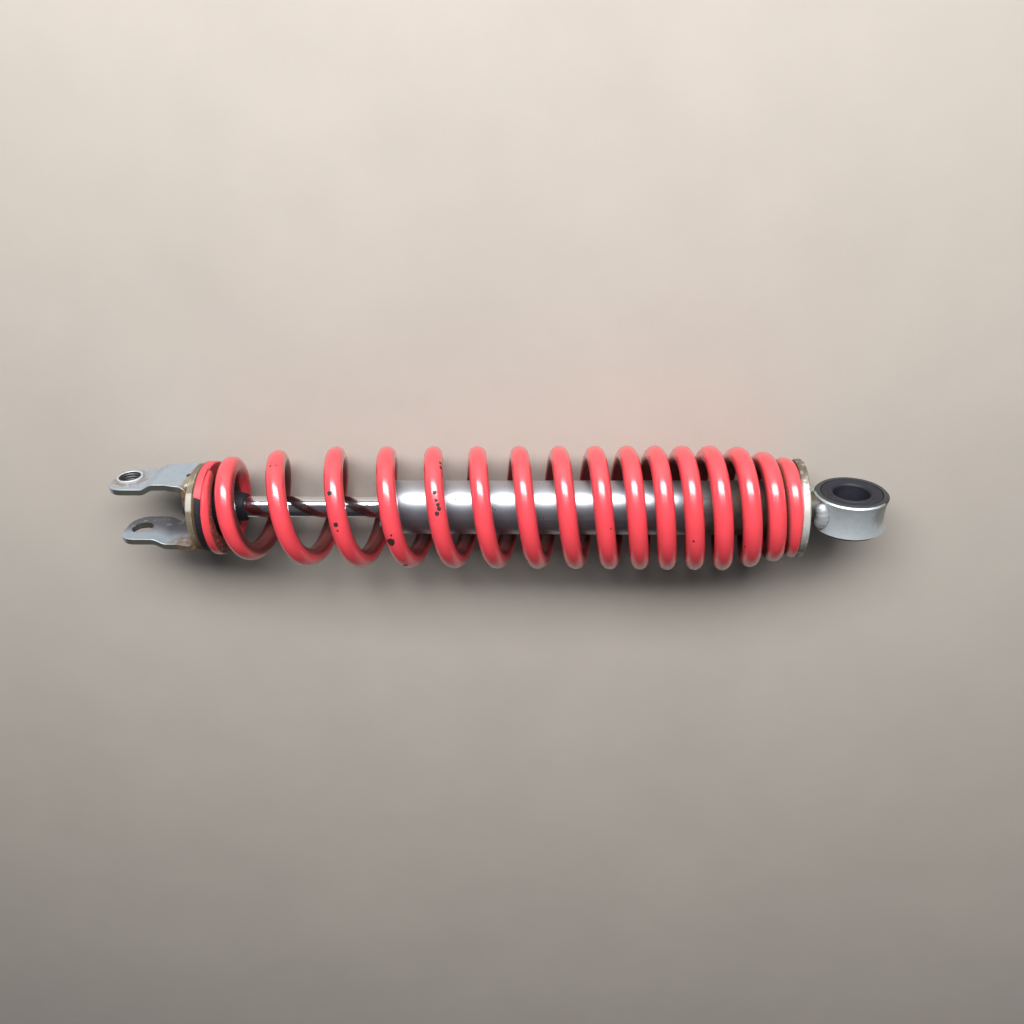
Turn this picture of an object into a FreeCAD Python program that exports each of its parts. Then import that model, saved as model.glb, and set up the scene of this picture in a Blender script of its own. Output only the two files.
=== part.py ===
import FreeCAD, Part
import math
import os

# Coil-over rear shock for a scooter. Millimetres.
# +X runs from the fork to the eye, with the origin at the centre of the eye's bore.
# Both bolt holes run along Y. +Z is up when the shock lies on its side.

V = FreeCAD.Vector
ORIGIN = V(0, 0, 0)
ALONG = V(1, 0, 0)
ACROSS = V(0, 1, 0)
UP = V(0, 0, 1)
SLIVER = 0.02

# Driving dimensions
eye_to_eye = 330.0
rod_dia = 10.0
tube_dia = 24.7
tube_wall = 1.6
wire_dia = 8.5
coil_dia = 48.0
coil_end_dia = 35.8
eye_dia = 31.8
eye_length = 16.0
bush_bore_dia = 16.0
sheet = 3.0
ear_gap = 23.0
ear_width = 23.0
bolt_dia = 10.0
thread_pitch = 1.25
rod_thread_dia = 8.0

# Radii that follow from them
rod_r = rod_dia / 2
tube_r = tube_dia / 2
bore_r = tube_r - tube_wall
wire_r = wire_dia / 2
eye_r = eye_dia / 2
stud_r = rod_thread_dia / 2
running_gap = 0.03
piston_gap = 0.05
broken_edge = 0.6

# Stations along the shock
upper_seat_x = -25.2
upper_seat_thick = 3.4
upper_seat_r = 22.1
insulator_x = -289.8
insulator_thick = 4.6
lower_seat_thick = 3.6
lower_seat_r = 20.5
lower_seat_x = insulator_x - insulator_thick
bracket_x = lower_seat_x - lower_seat_thick
bolt_x = -eye_to_eye
tube_end_x = -210.5
lip_thick = 1.5
cap_flange_x = upper_seat_x + upper_seat_thick


def polygon_face(points):
    """A flat face in the XZ plane with straight sides through (x, z) points."""
    corners = [V(x, 0, z) for x, z in points]
    return Part.Face(Part.makePolygon(corners + corners[:1]))


def turned(points):
    """A solid of revolution about the shock's axis, from its (x, radius) half outline."""
    return polygon_face(points).revolve(ORIGIN, ALONG, 360)


def ring(x, length, inner, outer):
    """A plain ring on the shock's axis that starts at x."""
    body = Part.makeCylinder(outer, length, V(x, 0, 0), ALONG)
    if inner <= 0:
        return body
    return body.cut(Part.makeCylinder(inner, length, V(x, 0, 0), ALONG))


def bevelled_ring(x, length, inner, outer, bevel):
    """A ring whose two outer corners are bevelled."""
    end = x + length
    return turned([
        (x, inner),
        (x, outer - bevel),
        (x + bevel, outer),
        (end - bevel, outer),
        (end, outer - bevel),
        (end, inner),
    ])


def o_ring(x, centre_r, thick_r):
    """A round-section ring on the shock's axis."""
    return Part.makeTorus(centre_r, thick_r, V(x, 0, 0), ALONG)


def hexagon(x, length, across_flats):
    """A hexagonal bar on the shock's axis with its corners turned off at both ends."""
    reach = across_flats / math.sqrt(3)
    corners = [
        V(x, reach * math.cos(math.radians(60 * i)), reach * math.sin(math.radians(60 * i)))
        for i in range(6)
    ]
    bar = Part.Face(Part.makePolygon(corners + corners[:1])).extrude(ALONG * length)
    drop = reach - across_flats / 2
    return bar.common(bevelled_ring(x, length, 0, reach, drop))


def hex_nut(x, length, across_flats, hole_r):
    """A plain hexagon nut on the shock's axis."""
    return hexagon(x, length, across_flats).cut(ring(x, length, 0, hole_r))


def rounded_wire(corners):
    """A closed wire through (point, radius) corners, with each corner rounded by its radius."""
    pieces = []
    count = len(corners)
    spans = []
    for i, (point, radius) in enumerate(corners):
        back = (corners[i - 1][0] - point).normalize()
        ahead = (corners[(i + 1) % count][0] - point).normalize()
        if radius <= 0:
            spans.append((point, None, point))
            continue
        half = back.getAngle(ahead) / 2
        inward = (back + ahead).normalize()
        run = radius / math.tan(half)
        nearest = point + inward * (radius / math.sin(half) - radius)
        spans.append((point + back * run, nearest, point + ahead * run))
    for i, (start, middle, end) in enumerate(spans):
        if middle is not None:
            pieces.append(Part.Arc(start, middle, end).toShape())
        following = spans[(i + 1) % count][0]
        if (following - end).Length > SLIVER:
            pieces.append(Part.LineSegment(end, following).toShape())
    return Part.Wire(pieces)


# Damper body

lip_hole_r = rod_r + 3.4
lip_round = 0.5
roll_round = 1.9


def make_damper_tube():
    """Cylinder with its rod end rolled in; the two corners of the roll are rounded off."""
    open_end = cap_flange_x - cap_flange_thick
    outline = [
        (V(tube_end_x, 0, lip_hole_r), lip_round),
        (V(tube_end_x, 0, tube_r), roll_round),
        (V(open_end, 0, tube_r), 0),
        (V(open_end, 0, bore_r), 0),
        (V(tube_end_x + lip_thick, 0, bore_r), 0),
        (V(tube_end_x + lip_thick, 0, lip_hole_r), lip_round),
    ]
    tube = Part.Face(rounded_wire(outline)).revolve(ORIGIN, ALONG, 360)
    return tube.cut(circlip())


cap_flange_thick = 3.0
cap_plug_length = 9.0
cap_root = 1.0
stub_r = 7.5


def make_tube_end_cap():
    """Plug inside the tube, a flange over its end, and the stub that meets the eye."""
    shoulder = cap_flange_x - cap_flange_thick
    plug_x = shoulder - cap_plug_length
    lead_in = 1.0
    cap = turned([
        (plug_x, 0),
        (plug_x, bore_r - lead_in),
        (plug_x + lead_in, bore_r),
        (shoulder, bore_r),
        (shoulder, tube_r),
        (cap_flange_x, tube_r),
        (cap_flange_x + cap_root, stub_r + cap_root),
        (cap_flange_x + 2 * cap_root, stub_r),
        (-eye_r / 2, stub_r),
        (-eye_r / 2, 0),
    ])
    return cap.cut(eye_shape(0))


eye_bevel = 0.7
eye_waist = 1.1
eye_wall = 2.4
eye_inner_r = eye_r - eye_wall


def eye_shape(inner):
    """The eye about its bore: a waisted outside between bevelled rims, hollow out to this radius."""
    half = eye_length / 2
    rim = half - eye_bevel
    rest = Part.makePolygon([
        V(eye_r, rim, 0),
        V(eye_r - eye_bevel, half, 0),
        V(inner, half, 0),
        V(inner, -half, 0),
        V(eye_r - eye_bevel, -half, 0),
        V(eye_r, -rim, 0),
    ])
    waist = Part.Arc(V(eye_r, -rim, 0), V(eye_r - eye_waist, 0, 0), V(eye_r, rim, 0)).toShape()
    return Part.Face(Part.Wire(rest.Edges + [waist])).revolve(ORIGIN, ACROSS, 360)


def make_eye_ring():
    return eye_shape(eye_inner_r)


def spun_across(outline):
    """A solid of revolution about the eye's bore, from its (radius, y) half outline."""
    corners = [V(radius, y, 0) for radius, y in outline]
    return Part.Face(Part.makePolygon(corners + corners[:1])).revolve(ORIGIN, ACROSS, 360)


weld_reach = 6.4
weld_leg = 3.0


def make_eye_welds():
    """Two beads in the corner between the stub and the eye, one above and one below."""
    start = eye_waist - eye_r - weld_leg
    bead = turned([
        (start, stub_r),
        (start + weld_leg, stub_r + weld_leg),
        (start + weld_reach, stub_r + weld_leg),
        (start + weld_reach, stub_r),
    ])
    width = eye_length - 4 * eye_bevel
    slab = Part.makeBox(eye_r, width, eye_dia, V(-1.5 * eye_r, -width / 2, -eye_r))
    return bead.common(slab).cut(eye_shape(0))


bush_flange = 0.9
bush_lip = 1.9
bush_lip_proud = 0.4
bush_bevel = 0.6


def make_eye_bush():
    """Rubber bush with a raised lip at one end of its bore and a flange over the eye's other end."""
    bore = bush_bore_dia / 2
    near = eye_length / 2
    face = -near
    flange_r = eye_r - eye_bevel
    return spun_across([
        (bore, face + bush_bevel),
        (bore + bush_flange, face - bush_flange),
        (flange_r - bush_flange, face - bush_flange),
        (flange_r, face),
        (eye_inner_r, face),
        (eye_inner_r, near - bush_bevel),
        (eye_inner_r - bush_bevel, near),
        (bore + bush_lip + bush_bevel, near),
        (bore + bush_lip, near + bush_lip_proud),
        (bore + bush_bevel, near + bush_lip_proud - bush_bevel / 2),
        (bore, near - bush_bevel),
    ])


coil_gap = 0.2
seat_collar_height = 3.0


def make_upper_spring_seat():
    """Pressed disc round the tube, with a collar that centres the spring's last coil."""
    collar = coil_end_dia / 2 - wire_r - coil_gap
    collar_x = upper_seat_x - seat_collar_height
    end = upper_seat_x + upper_seat_thick
    return turned([
        (collar_x, tube_r),
        (collar_x, collar - broken_edge),
        (collar_x + broken_edge, collar),
        (upper_seat_x, collar),
        (upper_seat_x, upper_seat_r - broken_edge),
        (upper_seat_x + broken_edge, upper_seat_r),
        (end - broken_edge, upper_seat_r),
        (end, upper_seat_r - broken_edge),
        (end, tube_r),
    ])


def make_upper_seat_weld():
    """Bead that ties the disc to the cap's flange."""
    start = upper_seat_x + upper_seat_thick
    leg = 1.6
    bead = turned([
        (start, stub_r + cap_root),
        (start, tube_r + leg),
        (start + leg / 2, tube_r + leg / 3),
        (start + leg, tube_r - leg),
        (start + leg, stub_r + cap_root),
    ])
    return bead.cut(make_tube_end_cap())


# Seals and guide, stacked inwards from the rolled lip

wiper_lip = 2.0
wiper_edge = 0.8
wiper_length = 4.0
washer_thick = 1.0
seal_length = 6.0
guide_length = 13.0
liner_wall = 1.2
circlip_wire = 1.2
wiper_x = tube_end_x + lip_thick
washer_x = wiper_x + wiper_length
seal_x = washer_x + washer_thick
guide_x = seal_x + seal_length
circlip_x = guide_x + guide_length + circlip_wire / 2
guide_o_ring_x = guide_x + guide_length / 2
groove_wire = 1.5


def make_dust_wiper():
    """Rubber wiper whose soft lip reaches out through the rolled end of the tube."""
    grip = rod_r + running_gap
    neck = lip_hole_r - coil_gap
    return turned([
        (tube_end_x - wiper_lip, grip),
        (tube_end_x - wiper_lip, grip + wiper_edge),
        (tube_end_x, neck),
        (wiper_x, neck),
        (wiper_x, bore_r),
        (washer_x, bore_r),
        (washer_x, grip + 2 * wiper_edge),
        (wiper_x, grip + wiper_edge),
    ])


def make_seal_washer():
    return ring(washer_x, washer_thick, rod_r + wiper_edge / 2, bore_r)


def make_oil_seal():
    """Rubber seal with a lip that leans towards the oil, cut free of its heel by a groove."""
    grip = rod_r + running_gap
    heel = 2.0
    lip = 0.9
    groove_floor = guide_x - seal_length / 2
    return turned([
        (seal_x, grip + lip / 2),
        (seal_x, bore_r),
        (guide_x, bore_r),
        (guide_x, bore_r - heel),
        (groove_floor, bore_r - heel - lip / 2),
        (guide_x - lip, grip + lip),
        (guide_x - lip, grip),
        (groove_floor, grip),
    ])


def make_rod_guide():
    """Guide with a seat for the liner and a groove for its ring."""
    hole = rod_r + running_gap + liner_wall
    guide = bevelled_ring(guide_x, guide_length, hole, bore_r - SLIVER, broken_edge)
    groove = ring(guide_o_ring_x - groove_wire, 2 * groove_wire, bore_r - 2 * groove_wire, bore_r)
    return guide.cut(groove)


def make_rod_bushing():
    inset = 1.0
    inner = rod_r + running_gap
    return ring(guide_x + inset, guide_length - 2 * inset, inner, inner + liner_wall)


def make_guide_o_ring():
    return o_ring(guide_o_ring_x, bore_r - groove_wire, groove_wire - SLIVER)


def circlip():
    return o_ring(circlip_x, bore_r, circlip_wire / 2)


def make_guide_circlip():
    """Open wire ring, half sunk in the tube wall."""
    gap = 4.0
    mouth = Part.makeBox(4 * circlip_wire, gap, tube_dia, V(circlip_x - 2 * circlip_wire, -gap / 2, 0))
    return circlip().cut(mouth)


# Spring

turns_start = 0.1
turns_end = 16.75
start_angle = -26.0
ground_off = 2.3
closed_pitch = wire_dia + coil_gap
# Pitch beyond the closed pitch, by turn, counted from the fork end
pitch_law = [
    (0.6, 0.0), (2.1, 23.2), (2.7, 18.0), (4.8, 13.0), (7.5, 10.0), (10.8, 3.5), (14.1, 3.9), (15.6, 0.0),
]
narrowing_start = 3.0
narrowing_end = 3.4
points_per_turn = 16


def law_area(turn):
    """Integral of the pitch law from the first turn up to this one."""
    area = 0.0
    for (t0, p0), (t1, p1) in zip(pitch_law, pitch_law[1:]):
        if turn <= t0:
            break
        reached = min(turn, t1)
        pitch = p0 + (p1 - p0) * (reached - t0) / (t1 - t0)
        area += (p0 + pitch) / 2 * (reached - t0)
    return area


def ease(t):
    """Smooth step from 0 to 1."""
    t = min(max(t, 0.0), 1.0)
    return t * t * (3 - 2 * t)


def spring_point(turn):
    """Centre of the wire at this turn."""
    start_x = insulator_x - ground_off
    free_length = upper_seat_x + ground_off - start_x
    spread = (free_length - closed_pitch * (turns_end - turns_start)) / law_area(turns_end)
    x = start_x + closed_pitch * (turn - turns_start) + spread * law_area(turn)
    full = min(ease(turn / narrowing_start), ease((turns_end - turn) / narrowing_end))
    radius = (coil_end_dia + (coil_dia - coil_end_dia) * full) / 2
    angle = math.radians(start_angle + 360 * turn)
    return V(x, radius * math.cos(angle), radius * math.sin(angle))


def make_coil_spring():
    """Round wire swept along the coil, with both ends ground flat."""
    count = round((turns_end - turns_start) * points_per_turn)
    step = (turns_end - turns_start) / count
    path = [spring_point(turns_start + step * i) for i in range(count + 1)]
    curve = Part.BSplineCurve()
    curve.interpolate(path)
    spine = Part.Wire(curve.toShape())
    section = Part.Wire(Part.makeCircle(wire_r, path[0], curve.tangent(curve.FirstParameter)[0]))
    sweep = Part.BRepOffsetAPI.MakePipeShell(spine)
    sweep.setFrenetMode(True)
    sweep.add(section)
    sweep.build()
    sweep.makeSolid()
    wire = sweep.shape()
    span = coil_dia + 2 * wire_dia
    for x in (insulator_x - span, upper_seat_x):
        wire = wire.cut(Part.makeBox(span, span, span, V(x, -span / 2, -span / 2)))
    return wire


# Gas side

gas_piston_x = -84.0
gas_piston_length = 12.0


def make_floating_piston():
    """Cup with its hollow facing the gas and a groove for its ring."""
    end = gas_piston_x + gas_piston_length
    wall = 4.6
    floor_x = gas_piston_x + gas_piston_length / 3
    outer = bore_r - piston_gap
    cup = turned([
        (gas_piston_x, 0),
        (gas_piston_x, outer - broken_edge),
        (gas_piston_x + broken_edge, outer),
        (end - broken_edge, outer),
        (end, outer - broken_edge),
        (end, outer - wall),
        (floor_x, outer - wall - broken_edge),
        (floor_x, 0),
    ])
    groove_x = gas_piston_x + gas_piston_length / 2
    groove = ring(groove_x - groove_wire, 2 * groove_wire, bore_r - 2 * groove_wire, bore_r)
    return cup.cut(groove)


def make_floating_piston_o_ring():
    groove_x = gas_piston_x + gas_piston_length / 2
    return o_ring(groove_x, bore_r - groove_wire - SLIVER, groove_wire - 1.5 * SLIVER)


# Spring's lower end

bump_base_r = 9.5
insulator_overhang = 1.0
hub_height = 5.0


def make_spring_insulator():
    """Rubber ring under the spring, with a hub that centres the first coil."""
    hub = coil_end_dia / 2 - wire_r - coil_gap
    outer = lower_seat_r + insulator_overhang
    hub_end = insulator_x + hub_height
    hole = bump_base_r + broken_edge
    return turned([
        (lower_seat_x, hole),
        (lower_seat_x, outer - broken_edge),
        (lower_seat_x + broken_edge, outer),
        (insulator_x - broken_edge, outer),
        (insulator_x, outer - broken_edge),
        (insulator_x, hub),
        (hub_end - broken_edge, hub),
        (hub_end, hub - broken_edge),
        (hub_end, hole),
    ])


# Rod assembly

bumper_length = 7.0
bumper_r = 8.0
stop_washer_thick = 1.5
stop_washer_r = 8.5
shim_thick = 0.3
shim_radii = [5.6, 6.6, 7.6, 8.6]
piston_length = 12.0
piston_nut_height = 6.5
nut_across_flats = 13.0
bumper_x = guide_x + guide_length
shoulder_x = bumper_x + bumper_length
shims_near_x = shoulder_x + stop_washer_thick
stack_height = shim_thick * len(shim_radii)
piston_x = shims_near_x + stack_height
shims_far_x = piston_x + piston_length
far_washer_x = shims_far_x + stack_height
piston_nut_x = far_washer_x + stop_washer_thick
thread_proud = 1.2
rod_top_x = piston_nut_x + piston_nut_height + thread_proud
rod_nut_height = 4.0
rod_nut_x = bracket_x - sheet - rod_nut_height
rod_foot_x = rod_nut_x - thread_proud


def make_piston_rod():
    """Ground rod, with a threaded nose at each end and a shoulder behind each nose."""
    edge = 0.8
    return turned([
        (rod_foot_x, 0),
        (rod_foot_x, stud_r - edge),
        (rod_foot_x + edge, stud_r),
        (lower_seat_x, stud_r),
        (lower_seat_x, rod_r),
        (shoulder_x, rod_r),
        (shoulder_x, stud_r),
        (rod_top_x - edge, stud_r),
        (rod_top_x, stud_r - edge),
        (rod_top_x, 0),
    ])


band_length = 8.0
band_depth = 0.8
band_x = piston_x + (piston_length - band_length) / 2
piston_clearance = 0.25
piston_r = bore_r - piston_clearance
port_count = 6


def make_piston():
    """Valve piston with a ring of axial ports under the shims."""
    port_r = 1.1
    port_circle = shim_radii[1]
    piston = bevelled_ring(piston_x, piston_length, stud_r, piston_r, broken_edge)
    piston = piston.cut(ring(band_x, band_length, piston_r - band_depth, bore_r))
    for i in range(port_count):
        angle = math.tau * i / port_count
        place = V(piston_x, port_circle * math.cos(angle), port_circle * math.sin(angle))
        piston = piston.cut(Part.makeCylinder(port_r, piston_length, place, ALONG))
    return piston


def make_piston_band():
    return ring(band_x, band_length, piston_r - band_depth, bore_r - piston_gap)


def shim_stack(x, radii):
    """Thin discs one after another, each its own solid."""
    discs = [ring(x + shim_thick * i, shim_thick, stud_r, r) for i, r in enumerate(radii)]
    return Part.makeCompound(discs)


def make_compression_shims():
    return shim_stack(shims_near_x, shim_radii)


def make_rebound_shims():
    return shim_stack(shims_far_x, shim_radii[::-1])


def make_top_out_washer():
    return ring(shoulder_x, stop_washer_thick, stud_r, stop_washer_r)


def make_rebound_washer():
    return ring(far_washer_x, stop_washer_thick, stud_r, shim_radii[0])


def make_piston_nut():
    return hex_nut(piston_nut_x, piston_nut_height, nut_across_flats, stud_r)


def make_top_out_bumper():
    return bevelled_ring(bumper_x, bumper_length, rod_r, bumper_r, 2 * broken_edge)


bump_length = 18.5
bump_tip_r = 6.4
bump_waists = 2


def make_bump_stop():
    """Rubber cone with two waists, standing on the lower seat."""
    waist = 0.8
    tip = lower_seat_x + bump_length
    outline = [(lower_seat_x, rod_r), (lower_seat_x, bump_base_r)]
    for i in range(bump_waists):
        share = (i + 1) / (bump_waists + 1)
        middle = lower_seat_x + bump_length * share
        radius = bump_base_r + (bump_tip_r - bump_base_r) * share
        outline += [(middle - waist, radius), (middle, radius - waist), (middle + waist, radius)]
    outline += [(tip - broken_edge, bump_tip_r), (tip, bump_tip_r - broken_edge), (tip, rod_r)]
    return turned(outline)


def make_lower_spring_seat():
    return bevelled_ring(bracket_x, lower_seat_thick, stud_r, lower_seat_r, broken_edge)


# Fork

sheared_edge = 0.4
joggle = 2.5
joggle_base_x = bolt_x + 14.5
joggle_head_x = bolt_x + 10.0
bend_inner = 2.0
bend_outer = bend_inner + sheet
base_width = 26.0
flare_start_x = bracket_x - 11.0
flare_end_x = bracket_x - 6.0
ear_inner = ear_gap / 2
ear_outer = ear_inner + sheet
base_outer = ear_outer + joggle
head_length = 8.1
head_round = 8.1
bush_collar = 1.5
bush_wall = 0.9
bush_outer_r = bolt_dia / 2 + bush_wall
# A metric thread's minor diameter lies this many pitches under its size
thread_depth = 1.0825
thread_minor_r = (bolt_dia - thread_depth * thread_pitch) / 2
bolt_clearance = 0.1
bolt_hole_r = bolt_dia / 2 + bolt_clearance


def folded_section():
    """The fork's folded sheet seen along Z: a web with two ears, each stepped inwards near its head."""
    head_x = bolt_x - head_length
    soft = 3.0
    half = [
        (bracket_x, base_outer, bend_outer),
        (joggle_base_x, base_outer, soft + sheet),
        (joggle_head_x, ear_outer, soft),
        (head_x, ear_outer, 0),
        (head_x, ear_inner, 0),
        (joggle_head_x, ear_inner, soft + sheet),
        (joggle_base_x, base_outer - sheet, soft),
        (bracket_x - sheet, base_outer - sheet, bend_inner),
    ]
    there = [(V(x, y, 0), r) for x, y, r in half]
    back = [(V(x, -y, 0), r) for x, y, r in reversed(half)]
    return Part.Face(rounded_wire(there + back))


def ear_outline():
    """The fork seen along Y: blunt rounded heads, a straight neck and a flared foot."""
    half_width = ear_width / 2
    half_base = base_width / 2
    head_x = bolt_x - head_length
    foot_round = 4.0
    side = [
        (bracket_x, half_base, 0),
        (flare_end_x, half_base, foot_round),
        (flare_start_x, half_width, foot_round),
        (head_x, half_width, head_round),
    ]
    there = [(V(x, 0, z), r) for x, z, r in side]
    back = [(V(x, 0, -z), r) for x, z, r in reversed(side)]
    return Part.Face(rounded_wire(there + back))


def make_clevis_bracket():
    """Folded fork with a plain bolt hole in one ear and the threaded bush's hole in the other."""
    folded = folded_section().extrude(UP * base_width)
    folded.translate(V(0, 0, -base_width / 2))
    outline = ear_outline().extrude(ACROSS * (2 * base_outer))
    outline.translate(V(0, -base_outer, 0))
    fork = folded.common(outline)
    fork = fork.makeFillet(sheared_edge, fork.Edges)
    plain_hole = Part.makeCylinder(bolt_hole_r, 2 * sheet, V(bolt_x, -ear_outer - sheet / 2, 0), ACROSS)
    bush_hole = Part.makeCylinder(bush_outer_r, 2 * sheet, V(bolt_x, ear_inner - sheet / 2, 0), ACROSS)
    rod_hole = ring(bracket_x - 2 * sheet, 3 * sheet, 0, stud_r)
    return fork.cut(plain_hole).cut(bush_hole).cut(rod_hole)


def make_clevis_thread_bush():
    """Threaded bush swaged into one ear, standing proud outside."""
    edge = 0.4
    foot = ear_inner
    top = ear_outer + bush_collar
    outline = [
        (thread_minor_r, foot + edge),
        (thread_minor_r + edge, foot),
        (bush_outer_r, foot),
        (bush_outer_r, top - edge),
        (bush_outer_r - edge, top),
        (thread_minor_r + edge, top),
        (thread_minor_r, top - edge),
    ]
    bush = spun_across(outline)
    bush.translate(V(bolt_x, 0, 0))
    return bush


bead_r = 2.4
bead_sink = 0.9
# Where each bead runs along the fork's foot, as shares of its half width
bead_spans = [(-0.95, -0.2), (0.3, 0.95)]


def make_clevis_welds():
    """Beads in the corner between the fork's two bends and the disc."""
    bracket = make_clevis_bracket()
    depth = 2 * bead_r
    corner = V(bracket_x - depth, -1.5 * base_outer, -base_width / 2)
    outside = Part.makeBox(depth, 3 * base_outer, base_width, corner)
    beads = []
    for side in (-1, 1):
        for start, end in bead_spans:
            z = start * base_width / 2
            length = (end - start) * base_width / 2
            place = V(bracket_x - bead_sink, side * (base_outer - bead_sink), z)
            bead = Part.makeCylinder(bead_r, length, place, UP)
            beads.append(bead.common(outside).cut(bracket))
    return Part.makeCompound(beads)


def make_rod_end_nut():
    return hex_nut(rod_nut_x, rod_nut_height, nut_across_flats, stud_r)


parts = {
    "damper_tube": make_damper_tube,
    "tube_end_cap": make_tube_end_cap,
    "eye_ring": make_eye_ring,
    "eye_welds": make_eye_welds,
    "eye_bush": make_eye_bush,
    "upper_spring_seat": make_upper_spring_seat,
    "upper_seat_weld": make_upper_seat_weld,
    "dust_wiper": make_dust_wiper,
    "seal_washer": make_seal_washer,
    "oil_seal": make_oil_seal,
    "rod_guide": make_rod_guide,
    "rod_bushing": make_rod_bushing,
    "guide_o_ring": make_guide_o_ring,
    "guide_circlip": make_guide_circlip,
    "coil_spring": make_coil_spring,
    "floating_piston": make_floating_piston,
    "floating_piston_o_ring": make_floating_piston_o_ring,
    "spring_insulator": make_spring_insulator,
    "piston_rod": make_piston_rod,
    "piston": make_piston,
    "piston_band": make_piston_band,
    "compression_shims": make_compression_shims,
    "rebound_shims": make_rebound_shims,
    "top_out_washer": make_top_out_washer,
    "rebound_washer": make_rebound_washer,
    "piston_nut": make_piston_nut,
    "top_out_bumper": make_top_out_bumper,
    "bump_stop": make_bump_stop,
    "lower_spring_seat": make_lower_spring_seat,
    "clevis_bracket": make_clevis_bracket,
    "clevis_thread_bush": make_clevis_thread_bush,
    "clevis_welds": make_clevis_welds,
    "rod_end_nut": make_rod_end_nut,
}

os.makedirs("parts", exist_ok=True)
for name, make in parts.items():
    shape = make()
    shape.exportStep(f"parts/{name}.step")
    box = shape.BoundBox
    print(f"{name}: solids {len(shape.Solids)}, valid {shape.isValid()}, volume {shape.Volume:.1f}, "
          f"x {box.XMin:.1f} to {box.XMax:.1f}")
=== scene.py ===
import bmesh
import bpy
import math
from mathutils import Matrix, Vector, noise
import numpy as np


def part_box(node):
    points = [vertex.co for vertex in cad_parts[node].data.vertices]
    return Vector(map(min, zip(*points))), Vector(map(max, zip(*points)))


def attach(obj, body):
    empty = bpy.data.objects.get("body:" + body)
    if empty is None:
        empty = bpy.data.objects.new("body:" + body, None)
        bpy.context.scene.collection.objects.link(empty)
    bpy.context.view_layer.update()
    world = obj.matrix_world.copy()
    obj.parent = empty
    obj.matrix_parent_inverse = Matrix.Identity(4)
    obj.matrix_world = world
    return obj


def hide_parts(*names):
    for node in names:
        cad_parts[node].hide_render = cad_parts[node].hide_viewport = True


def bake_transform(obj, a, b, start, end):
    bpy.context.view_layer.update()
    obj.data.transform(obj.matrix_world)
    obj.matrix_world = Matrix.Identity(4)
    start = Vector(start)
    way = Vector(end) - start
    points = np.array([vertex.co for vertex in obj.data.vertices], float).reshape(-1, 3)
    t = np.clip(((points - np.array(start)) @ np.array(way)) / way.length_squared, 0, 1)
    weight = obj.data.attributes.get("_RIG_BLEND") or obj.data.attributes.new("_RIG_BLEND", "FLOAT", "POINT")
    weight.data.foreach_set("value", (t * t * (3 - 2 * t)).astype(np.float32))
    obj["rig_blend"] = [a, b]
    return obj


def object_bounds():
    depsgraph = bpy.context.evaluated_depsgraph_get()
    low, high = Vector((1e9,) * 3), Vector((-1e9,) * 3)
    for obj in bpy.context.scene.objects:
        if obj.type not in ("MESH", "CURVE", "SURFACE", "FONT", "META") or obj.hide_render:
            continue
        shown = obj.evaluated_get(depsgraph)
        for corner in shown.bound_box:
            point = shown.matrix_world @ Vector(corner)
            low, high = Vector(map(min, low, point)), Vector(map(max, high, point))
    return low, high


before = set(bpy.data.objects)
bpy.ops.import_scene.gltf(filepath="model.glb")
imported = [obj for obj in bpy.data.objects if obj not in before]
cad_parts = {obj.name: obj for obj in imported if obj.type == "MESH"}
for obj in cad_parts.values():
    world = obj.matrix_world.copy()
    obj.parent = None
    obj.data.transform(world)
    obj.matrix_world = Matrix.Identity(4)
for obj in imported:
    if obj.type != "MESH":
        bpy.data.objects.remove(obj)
cad_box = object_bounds()

# Units: metres. +X runs from the fork to the eye, both bolt holes lie along Y, +Z is up.

MM = 0.001
SEED = 7


# Places read from the frame

def low(node):
    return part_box(node)[0]


def high(node):
    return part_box(node)[1]


spring_start = low("coil_spring").x
spring_end = high("coil_spring").x
spring_r = high("coil_spring").z
floor_z = -spring_r
lower_seat_start = low("lower_spring_seat").x
insulator_start = low("spring_insulator").x
tube_end = high("damper_tube").x
tube_r = high("damper_tube").z
eye_r = high("eye_ring").z
eye_half = high("eye_ring").y
bolt_x = (low("clevis_thread_bush").x + high("clevis_thread_bush").x) / 2
bush_top = high("clevis_thread_bush").y
bush_foot = low("clevis_thread_bush").y
bush_r = high("clevis_thread_bush").z
bracket_foot_y = high("clevis_bracket").y
bracket_foot_z = high("clevis_bracket").z

# Places that no box gives: the stub's radius, and how far the eye narrows at its waist
stub_r = 7.5 * MM
eye_waist = 1.1 * MM


# Colours, as linear RGB

RUST_DARK = (0.060, 0.026, 0.012)
RUST_LIGHT = (0.33, 0.155, 0.055)
GRIME_AND_SHADE = (0.030, 0.024, 0.019)
DUST = (0.30, 0.26, 0.21)
YELLOWED = (0.34, 0.285, 0.18)
EDGE_HIGHLIGHT = (0.90, 0.91, 0.92)
SPRING_RED = (0.80, 0.075, 0.095)
SPRING_SHADE = (0.66, 0.046, 0.062)
RED_GRIME_AND_SHADE = (0.10, 0.028, 0.022)
INSIDE_SHADE_AND_GRIME = (0.055, 0.014, 0.014)
BURNT_DARK = (0.020, 0.009, 0.007)
BURNT_LIGHT = (0.20, 0.075, 0.045)
CHIP_DARK = (0.008, 0.004, 0.004)
CHIP_LIGHT = (0.040, 0.020, 0.017)
EAR_SHADOW_VIOLET = (0.085, 0.078, 0.092)
TAN_RUST = (0.24, 0.165, 0.105)
EDGE_SHADE = (0.095, 0.092, 0.068)
GAP_SHADE = (0.012, 0.010, 0.009)
OLIVE_DIRT = (0.115, 0.096, 0.064)
PALE_CREAM = (0.40, 0.375, 0.32)
SIDE_SHADE_GREEN = (0.20, 0.205, 0.175)
BROWN_GRIME = (0.105, 0.075, 0.048)
SHOULDER_DIRT = (0.20, 0.18, 0.13)
EYE_BLACK = (0.030, 0.031, 0.032)
THREAD_SHADE = (0.020, 0.020, 0.022)
PAINT_EDGE_RUST = (0.11, 0.052, 0.022)
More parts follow.
